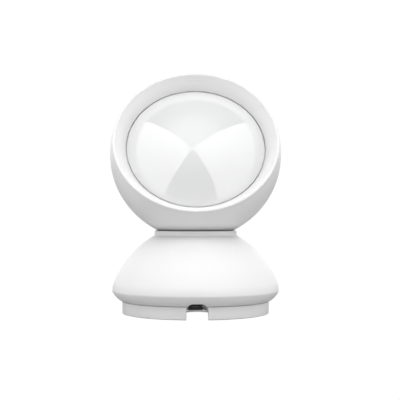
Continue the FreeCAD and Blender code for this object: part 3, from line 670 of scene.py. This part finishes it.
def skirt_outline():
    """The outside of the foot's shell, from its foot up to the neck's lip, and the cup's face."""
    reach = SKIRT_REACH - EDGE_ARC
    edge_end = cosine_angle((reach - SKIRT_CENTRE[0]) / (SKIRT_ARC - EDGE_ARC))
    neck_end = cosine_angle((NECK - SKIRT_CENTRE[0]) / SKIRT_ARC)
    widest = SKIRT_CENTRE[1] + across(reach - SKIRT_CENTRE[0], SKIRT_ARC - EDGE_ARC)
    bevel = arc_between(SHELL_FOOT, (SKIRT_REACH, widest), BEVEL_ARC, 12)
    skirt = arc(SKIRT_CENTRE, SKIRT_ARC, edge_end, neck_end, 48)
    lip = across(BALL_LEVEL - NECK_TOP, CUP)
    return ([(0, SHELL_FOOT[1]), (*SHELL_FOOT, 0.1)] + bevel[1:-1]
            + [(SKIRT_REACH, widest, 0.6)]
            + arc((reach, widest), EDGE_ARC, 0, edge_end, 12)[1:] + skirt[1:-1]
            + [(*skirt[-1], 0.4), (NECK, NECK_TOP, 0.3), (lip, NECK_TOP, 0.08)]
            + cup_arc(lip, SEAT_OUTSIDE, 6)[1:]
            + [(SEAT_OUTSIDE, SEAT_FOOT, 0.15), (SEAT_INSIDE, SEAT_FOOT, 0.15)]
            + cup_arc(SEAT_INSIDE, 0, 16))


def screw_boss(ring, angle, radius, foot):
    """A boss from its foot up into the roof, with the bore for its screw."""
    bore_end = foot + SCREW_DEPTH
    boss = turned("boss", [(SCREW_BORE, foot, 0.1), (radius, foot, 0.25), (radius, ROOF),
                           (0, ROOF), (0, bore_end + DRILL_POINT), (SCREW_BORE, bore_end)],
                  turns=40)
    return moved(boss, on_ring(ring, angle))


def shell_room():
    """The hollow of the foot's shell, less the screw bosses, ballast posts and pan stop. It is
    turned off the steps of the shell's outside, so that no edges of the two coincide."""
    inside = SKIRT_ARC - SHELL_WALL
    low_end, high_end = (sine_angle((level - SKIRT_CENTRE[1]) / inside)
                         for level in (SKIRT_ROOM_FOOT, WEB))
    below = SHELL_FOOT[1] - 1
    room = turned("room", [(0, below), (SPIGOT_ROOM, below), (SPIGOT_ROOM, SPIGOT_ROOM_TOP, 0.2)]
                  + arc(SKIRT_CENTRE, inside, low_end, high_end, 32)
                  + [(STEM_HOLE, WEB), (STEM_HOLE, STEM_HOLE_TOP), (0, STEM_HOLE_TOP)])
    moved(room, at(0, 0, turn=ROOM_TURN))
    solids = [block("stop", *PAN_STOP, edge=0.15)]
    for (ring, angles), radius, foot in ((COVER_SCREWS, COVER_BOSS, SHELL_FOOT[1] - 0.01),
                                         (BALLAST_POSTS, BALLAST_POST, BALLAST_TOP)):
        solids += [screw_boss(ring, angle, radius, foot) for angle in angles]
    return combine(room, solids, "DIFFERENCE")


def foot_shell():
    """Neck, skirt and cup in one moulding, open at the cable notch."""
    notch = notch_cutter(((PORT_WALL_FRONT, 0), (NOTCH_END, 0)))
    return combine(turned("foot_shell", skirt_outline()), [shell_room(), notch], "DIFFERENCE")


def notch_cutter(growths):
    """The arch of the cable notch, as wide as its (distance from the axis, growth) pairs say."""
    sections = []
    for distance, growth in growths:
        half, top, corner = NOTCH_HALF + growth, NOTCH_TOP + growth, NOTCH_CORNER + growth
        loop = rounded([(-half, NOTCH_FOOT), (half, NOTCH_FOOT), (half, top, corner),
                        (-half, top, corner)], steps=12)
        sections.append([(x, -distance, z) for x, z in loop])
    return loft("notch", sections)


def cover_ring():
    """The plinth ring, the spigot on it and the floor, cut by the notch with its rounded edge."""
    groove_inside, groove_outside = RING_INSIDE - RING_GAP, RING_OUTSIDE + RING_GAP
    width, height = RECESS_EDGE
    item = turned("plinth_cover", [
        (0, FLOOR), (RECESS - width, FLOOR), (RECESS, FLOOR - height, 0.2),
        (RECESS, PLINTH_FOOT, 0.1),
        (groove_inside, PLINTH_FOOT), (groove_inside, RING_ROOF),
        (groove_outside, RING_ROOF), (groove_outside, PLINTH_FOOT),
        (PLINTH, PLINTH_FOOT, 0.25), (PLINTH, PLINTH_TOP, 0.25), (SPIGOT, PLINTH_TOP),
        (SPIGOT, SPIGOT_TOP, 0.2), (SPIGOT_INSIDE, SPIGOT_TOP, 0.2),
        (SPIGOT_INSIDE, FLOOR_TOP), (0, FLOOR_TOP)])
    return combine(item, [notch_cutter(((PORT_WALL_FRONT, 0), *NOTCH_EDGE))], "DIFFERENCE")


def cover_post(ring, angle):
    """A post on the floor for the power board, with its screw hole."""
    foot, fillet_top, bore_end = FLOOR_TOP - 0.25, FLOOR_TOP + 0.25, FLOOR_TOP + 0.15
    radius, foot_radius, bore = 2, 2.3, 0.83
    post = turned("post", [(0, foot), (foot_radius, foot), (radius, fillet_top),
                           (radius, PORT_TOP, 0.15), (bore, PORT_TOP, 0.1), (bore, bore_end),
                           (0, bore_end)], turns=FINE_TURNS)
    return moved(post, on_ring(ring, angle))


def floor_hole(mouth, radius, step, turns, place):
    """A hole through the cover's floor, wider at its mouth underneath."""
    hole = turned("hole", [(0, BELOW), (mouth, BELOW), (mouth, FLOOR), (radius, FLOOR + step),
                           (radius, ABOVE), (0, ABOVE)], turns=turns)
    return moved(hole, place)


def port_block(name, half_width, reach, levels, edge):
    """A box in the middle of the inlet, between two distances in front of the foot's axis."""
    (back, front), (low, high) = reach, levels
    return block(name, (PORT_X - half_width, -front, low), (PORT_X + half_width, -back, high),
                 edge)


def cover():
    """Plinth ring, floor and port wall, with the board's posts and every opening."""
    item = cover_ring()
    wall = block("wall", (-PORT_WALL_HALF, -PORT_WALL_FRONT, FLOOR),
                 (PORT_WALL_HALF, -PORT_WALL_BACK, SPIGOT_TOP), edge=0.05)
    ring, angles = COVER_POSTS
    combine(item, [wall] + [cover_post(ring, angle) for angle in angles], "UNION")
    ring, angles = COVER_SCREWS
    holes = [floor_hole(*SCREW_HOLE, turns=FINE_TURNS, place=on_ring(ring, angle))
             for angle in angles]
    room_half, port_levels = PORT_HALF + PORT_GAP, (PORT_FOOT - PORT_GAP, PORT_TOP + PORT_GAP)
    holes += [port_block("port_hole", room_half, PORT_HOLE, port_levels, edge=0.3),
              port_block("port_room", room_half, PORT_ROOM, (BELOW, PORT_ROOM_TOP), edge=0),
              floor_hole(*BUTTON_HOLE, turns=48, place=at(0, BUTTON_Y))]
    return combine(item, holes, "DIFFERENCE")


def foot_ring():
    """A soft ring with two lips on the table, open at the notch."""
    clearance = 0.3
    half_gap = sine_angle(NOTCH_HALF / RING_INSIDE) + clearance
    top, middle, half_groove, groove_top = 1.2, 27.8, 0.1, 0.16
    outline = [(RING_INSIDE, top, 0.1), (RING_INSIDE, 0, 0.12), (middle - half_groove, 0, 0.08),
               (middle, groove_top, 0.04), (middle + half_groove, 0, 0.08),
               (RING_OUTSIDE, 0, 0.12), (RING_OUTSIDE, top, 0.1)]
    return turned("soft_foot_ring", outline, span=(half_gap - 90, 270 - half_gap))


def port_loop(inset, distance):
    """The inlet's outline, wide side up, at a distance in front of the axis."""
    wide, narrow = PORT_HALF - inset, PORT_NARROW_HALF - inset * 0.6
    low, high = PORT_FOOT + inset, PORT_TOP - inset
    corner = PORT_CORNER - inset
    half = [(narrow, low, corner), (wide, PORT_SHOULDER, corner), (wide, high, corner)]
    mirrored = [(-x, z, corner) for x, z, corner in reversed(half)]
    loop = rounded([(PORT_X + x, z, corner) for x, z, corner in mirrored[-1:] + half
                    + mirrored[:-1]])
    return [(x, -distance, z) for x, z in loop]


def port_shell():
    """Folded sheet with a rolled mouth and a closed back."""
    outside = ((0, PORT_BACK), (0, PORT_FRONT - 0.12))
    mouth = ((0.05, PORT_FRONT), (0.18, PORT_FRONT))
    inside = ((PORT_SHEET, PORT_FRONT - 0.15), (PORT_SHEET, PORT_BACK + 0.4))
    return loft("port_shell", [port_loop(inset, distance)
                               for inset, distance in outside + mouth + inside])


def port_tongue():
    """The block at the back of the inlet, and the blade that carries the contacts."""
    item = port_block("port_tongue", half_width=2.6, reach=(21.45, 22.25), levels=(3.8, 5.4),
                      edge=0.12)
    blade = port_block("blade", half_width=1.8, reach=(22, 25.3), levels=(4.7, 5.3), edge=0.15)
    return combine(item, [blade], "UNION")


def port_contacts():
    """Five leaf contacts under the blade."""
    pitch = 0.65
    leaf = block("leaf", (-0.15, -25, 4.62), (0.15, -22.4, 4.72), edge=0.03)
    places = [at(PORT_X + pitch * place, 0) for place in (-2, -1, 0, 1, 2)]
    return joined("port_contacts", [(leaf, places)])


def cross_recess(radius, head_height):
    """A cross that narrows downward, from over the head to a quarter of its height."""
    wide, long = radius * 0.15, radius * 0.62
    cross = [(wide, long), (-wide, long), (-wide, wide), (-long, wide), (-long, -wide),
             (-wide, -wide), (-wide, -long), (wide, -long), (wide, -wide), (long, -wide),
             (long, wide), (wide, wide)]
    return loft("recess", [[(x * size, y * size, level) for x, y in cross]
                           for size, level in ((0.55, head_height * 0.25),
                                               (1.1, head_height * 1.1))])


def pan_screw(head_radius, head_height, shank_radius, length):
    """A pan-head screw on z = 0: a domed head with a cross recess, a helical thread below."""
    pitch, depth, steps_in_turn = shank_radius * 0.75, 0.22, 6
    thread_foot = shank_radius * 1.2 - length

    def thread(radius, level, angle):
        """The radius, less where the groove of the thread passes."""
        if abs(radius - shank_radius) > TINY or not thread_foot < level < -pitch / 2:
            return radius
        phase = (level / pitch - angle / (2 * math.pi)) % 1
        return radius * (1 - depth * abs(2 * phase - 1))

    steps = int((length - shank_radius) / pitch * steps_in_turn)
    outline = [(0, -length), (shank_radius * 0.35, -length)]
    outline += [(shank_radius, thread_foot * (1 - step / steps)) for step in range(steps + 1)]
    outline += [(head_radius, 0, 0.08), (head_radius, head_height * 0.5, 0.1)]
    outline += [(x * head_radius * 0.97, head_height * (0.5 + 0.5 * z))
                for x, z in arc((0, 0), 1, 30, 80, 5)]
    outline += [(0, head_height)]
    item = turned("screw", outline, turns=36, shape=thread)
    return combine(item, [cross_recess(head_radius, head_height)], "DIFFERENCE")


def cover_screws():
    ring, angles = COVER_SCREWS
    turn_over = Matrix.Rotation(math.pi, 4, "X")
    screw = pan_screw(head_radius=2.2, head_height=1.3, shank_radius=1.1, length=10)
    return joined("cover_screws", [(screw, [on_ring(ring, angle, FLOOR) @ turn_over
                                            for angle in angles])])


def button():
    """A button with a shallow dish for the fingertip and a flange that holds it in."""
    cap, flange, flange_foot, flange_top = 2.2, 2.9, FLOOR_TOP + 0.05, FLOOR_TOP + 0.3
    dish = [(0, FLOOR - 0.3), (0.9, FLOOR - 0.36), (1.6, FLOOR - 0.5, 0.15)]
    outline = dish + [(cap, FLOOR - 0.45, 0.2), (cap, flange_foot), (flange, flange_foot, 0.05),
                      (flange, flange_top, 0.08), (0, flange_top)]
    return moved(turned("button_cap", outline, turns=64), at(0, BUTTON_Y))


FOOT_PIECES = (
    (foot_shell(), "base", "shell_white", "base_shell"),
    (cover(), "base", "plinth_white", "base_cover"),
    (foot_ring(), "base", "foot_rubber", "foot_ring"),
    (port_shell(), "base", "steel_plated", "micro_usb_shell"),
    (port_tongue(), "base", "component_black", "micro_usb_tongue"),
    (port_contacts(), "base", "steel_plated"),
    (cover_screws(), "base", "screw_steel", "base_screws"),
    (button(), "button", "button_grey", "setup_button"),
)
for item, body, slot, *replaced in FOOT_PIECES:
    piece(item, body, slot, *replaced)


# ---- floor, lights, camera -------------------------------------------------------------------
# Sizes from here on are in metres. Directions are (azimuth, elevation) in degrees, as seen from
# the lens: the azimuth from the front towards +X, the elevation from the horizon.

WHITE = (1, 1, 1, 1)
FLOOR_HALF, FLOOR_TONE, FLOOR_FIBRES = 3.0, 0.4, 0.02
LENS_CENTRE = BALL_CENTRE + Vector((0, -10, 6)) * MM
STUDIO_REACH = 1.2                      # how far the panels and softboxes are from the lens

# What the gloss mirrors: four panels that meet at the apex, and one behind the object. Each has
# its brightness at the apex, the share of it that is left far from there, the cosine of that
# angle, and its corners.
APEX = (-5, 41.6)
APEX_COSINE = 0.98                      # up to this angle the brightness is full
RIGHT_TOP = [(21, 53.5), (46, 59), (81, 58.5), (107, 52.5), (125, 42)]
LEFT_TOP = [(-28, 54.5), (-50, 59), (-84, 59), (-106, 55), (-125, 46)]
RIGHT_FOOT = [(4, 34), (11, 22), (18, 9), (23, -4), (28, -18), (32, -30)]
LEFT_FOOT = [(-11, 34), (-18, 22), (-24.5, 10), (-32, -2), (-39, -15), (-46, -28)]
PANELS = {
    "panel_left": (4.2, 0.45, 0.1, [APEX, *LEFT_TOP, (-143, 33), (-130, -35), *LEFT_FOOT[::-1]]),
    "panel_right": (4.2, 0.45, 0.1, [APEX, *RIGHT_TOP, (127, 20), (115, -35), *RIGHT_FOOT[::-1]]),
    "panel_top": (2.35, 0.0, 0.6, [APEX, *RIGHT_TOP, *LEFT_TOP[::-1]]),
    "panel_front": (1.2, 0.5, 0.1, [APEX, *RIGHT_FOOT, *LEFT_FOOT[::-1]]),
    "panel_back": (1.6, 1.0, 0.1, [(140, 0), (140, 28), (-140, 28), (-140, 0)]),
}
# Each softbox's radiance, direction, and width and height.
SOFTBOXES = {
    "overhead": (0.95, (0, 89), (1.2, 1.2)),
    "front_high": (2.9, (0, 56), (0.8, 0.6)),
    "front_low": (1.55, (0, 8), (1.0, 0.4)),
    "left": (0.95, (-75, 25), (0.8, 0.6)),
    "right": (1.2, (75, 25), (0.8, 0.6)),
    "back_right": (2.0, (148, 25), (0.8, 0.6)),
    "back_left": (0.8, (-155, 25), (0.8, 0.6)),
}
# The room's radiance at heights from straight down, 0, to straight up, 1.
ROOM_LIGHT = ((0.25, 0.0), (0.52, 0.42), (0.85, 0.65))


def sky(azimuth, elevation):
    """A point of the studio in a direction from the lens."""
    a, e = math.radians(azimuth), math.radians(elevation)
    way = Vector((math.sin(a) * math.cos(e), -math.cos(a) * math.cos(e), math.sin(e)))
    return LENS_CENTRE + way * STUDIO_REACH


def stage_plane(name, corners, material):
    mesh = bpy.data.meshes.new(name)
    mesh.from_pydata(corners, [], [tuple(range(len(corners)))])
    mesh.materials.append(material)
    item = bpy.data.objects.new(name, mesh)
    scene.collection.objects.link(item)
    return item


def plain_to_camera(tree, lit, plain, output):
    """Shows the plain shader to the camera, and the lit one to everything else."""
    seen = add(tree, "LightPath").outputs["Is Camera Ray"]
    mix = add(tree, "MixShader")
    for source, socket in zip((seen, lit.outputs[0], plain.outputs[0]), mix.inputs):
        tree.links.new(source, socket)
    tree.links.new(mix.outputs[0], tree.nodes[output].inputs["Surface"])


def pale_floor():
    """A light table: its paper looks white all over, and bounces light like any grey paper."""
    material, tree, shader = new_material("floor_paper")
    fibres = noise(tree, object_coordinates(tree), 0.8, detail=4.0)
    tree.links.new(bump(tree, fibres, 0.02), shader.inputs["Normal"])
    colours = mix_colours(tree, spread(tree, fibres, 0, 1), (FLOOR_TONE - FLOOR_FIBRES,) * 3,
                          (FLOOR_TONE + FLOOR_FIBRES,) * 3)
    tree.links.new(colours, shader.inputs["Base Color"])
    shader.inputs["Roughness"].default_value = 0.9
    lit = add(tree, "Emission", {"Color": WHITE})
    tree.links.new(spread(tree, fibres, 1.0, 1.04), lit.inputs["Strength"])
    plain_to_camera(tree, shader, lit, "Material Output")
    corners = [(x * FLOOR_HALF, y * FLOOR_HALF, 0) for x, y in ((-1, -1), (1, -1), (1, 1), (-1, 1))]
    floor = stage_plane("floor", corners, material)
    floor.visible_shadow = False
    floor.visible_glossy = False


def glow(name, strength, far_share, far_cosine):
    """The fabric of a reflector: brightest at the apex, and less with the angle from it."""
    material = bpy.data.materials.new(name)
    material.use_nodes = True
    tree = material.node_tree
    tree.nodes.clear()
    place = add(tree, "NewGeometry").outputs["Position"]
    away = add(tree, "VectorMath", {1: LENS_CENTRE}, operation="SUBTRACT")
    way = add(tree, "VectorMath", operation="NORMALIZE")
    aligned = add(tree, "VectorMath", {1: (sky(*APEX) - LENS_CENTRE).normalized()},
                  operation="DOT_PRODUCT")
    fall = add(tree, "MapRange", {"From Min": far_cosine, "From Max": APEX_COSINE,
                                  "To Min": far_share * strength, "To Max": strength})
    emission = add(tree, "Emission", {"Color": WHITE})
    output = add(tree, "OutputMaterial")
    tree.links.new(place, away.inputs[0])
    tree.links.new(away.outputs["Vector"], way.inputs[0])
    tree.links.new(way.outputs["Vector"], aligned.inputs[0])
    tree.links.new(aligned.outputs["Value"], fall.inputs["Value"])
    tree.links.new(fall.outputs["Result"], emission.inputs["Strength"])
    tree.links.new(emission.outputs["Emission"], output.inputs["Surface"])
    return material


def reflector(name, outline, *brightness):
    """A panel that only gloss shows: it lights nothing and the camera looks past it."""
    panel = stage_plane(name, [sky(*corner) for corner in outline], glow(name, *brightness))
    panel.visible_camera = False
    panel.visible_diffuse = False
    panel.visible_shadow = False
    panel.visible_transmission = False


def softbox(name, radiance, place, size):
    """A rectangular light that faces the lens, its power worked out from its radiance."""
    light = bpy.data.lights.new(name, "AREA")
    light.shape = "RECTANGLE"
    light.size, light.size_y = size
    light.energy = radiance * math.pi * size[0] * size[1]
    item = bpy.data.objects.new(name, light)
    item.location = sky(*place)
    item.rotation_euler = (LENS_CENTRE - item.location).to_track_quat("-Z", "Y").to_euler()
    item.visible_glossy = False
    item.visible_camera = False
    scene.collection.objects.link(item)


def studio_world():
    """Soft light from all round, by height; the camera sees plain white."""
    world = bpy.data.worlds.new("studio")
    scene.world = world
    world.use_nodes = True
    tree = world.node_tree
    soft = tree.nodes["Background"]
    split = add(tree, "SeparateXYZ")
    height = add(tree, "MapRange", {"From Min": -1.0, "From Max": 1.0})
    ramp = add(tree, "ValToRGB")
    stops = ramp.color_ramp.elements
    stops.new(0.5)
    for stop, (position, value) in zip(stops, ROOM_LIGHT):
        stop.position = position
        stop.color = (value, value, value, 1)
    tree.links.new(add(tree, "TexCoord").outputs["Generated"], split.inputs["Vector"])
    tree.links.new(split.outputs["Z"], height.inputs["Value"])
    tree.links.new(height.outputs["Result"], ramp.inputs["Fac"])
    tree.links.new(ramp.outputs["Color"], soft.inputs["Color"])
    soft.inputs["Strength"].default_value = 1.0
    plain = add(tree, "Background", {"Color": WHITE, "Strength": 1.05})
    plain_to_camera(tree, soft, plain, "World Output")


pale_floor()
for name, (*brightness, outline) in PANELS.items():
    reflector(name, outline, *brightness)
for name, (radiance, place, size) in SOFTBOXES.items():
    softbox(name, radiance, place, size)
studio_world()

CAMERA_DISTANCE = 0.397
CAMERA_HEIGHT = 0.0387
CAMERA_AZIMUTH = math.radians(-1.3)
CAMERA_PITCH = math.radians(0.88)       # above the horizon
CAMERA_AIM = math.radians(0.252)        # to the right of the object's axis
SENSOR_WIDTH, FOCAL_LENGTH = 36.0, 90.0     # millimetres
camera_data = bpy.data.cameras.new("camera")
camera_data.sensor_width = SENSOR_WIDTH
camera_data.lens = FOCAL_LENGTH
camera = bpy.data.objects.new("camera", camera_data)
camera.location = (CAMERA_DISTANCE * math.sin(CAMERA_AZIMUTH),
                   -CAMERA_DISTANCE * math.cos(CAMERA_AZIMUTH), CAMERA_HEIGHT)
camera.rotation_euler = (math.radians(90) + CAMERA_PITCH, 0, CAMERA_AZIMUTH - CAMERA_AIM)
scene.collection.objects.link(camera)
scene.camera = camera
scene.view_settings.view_transform = "Standard"
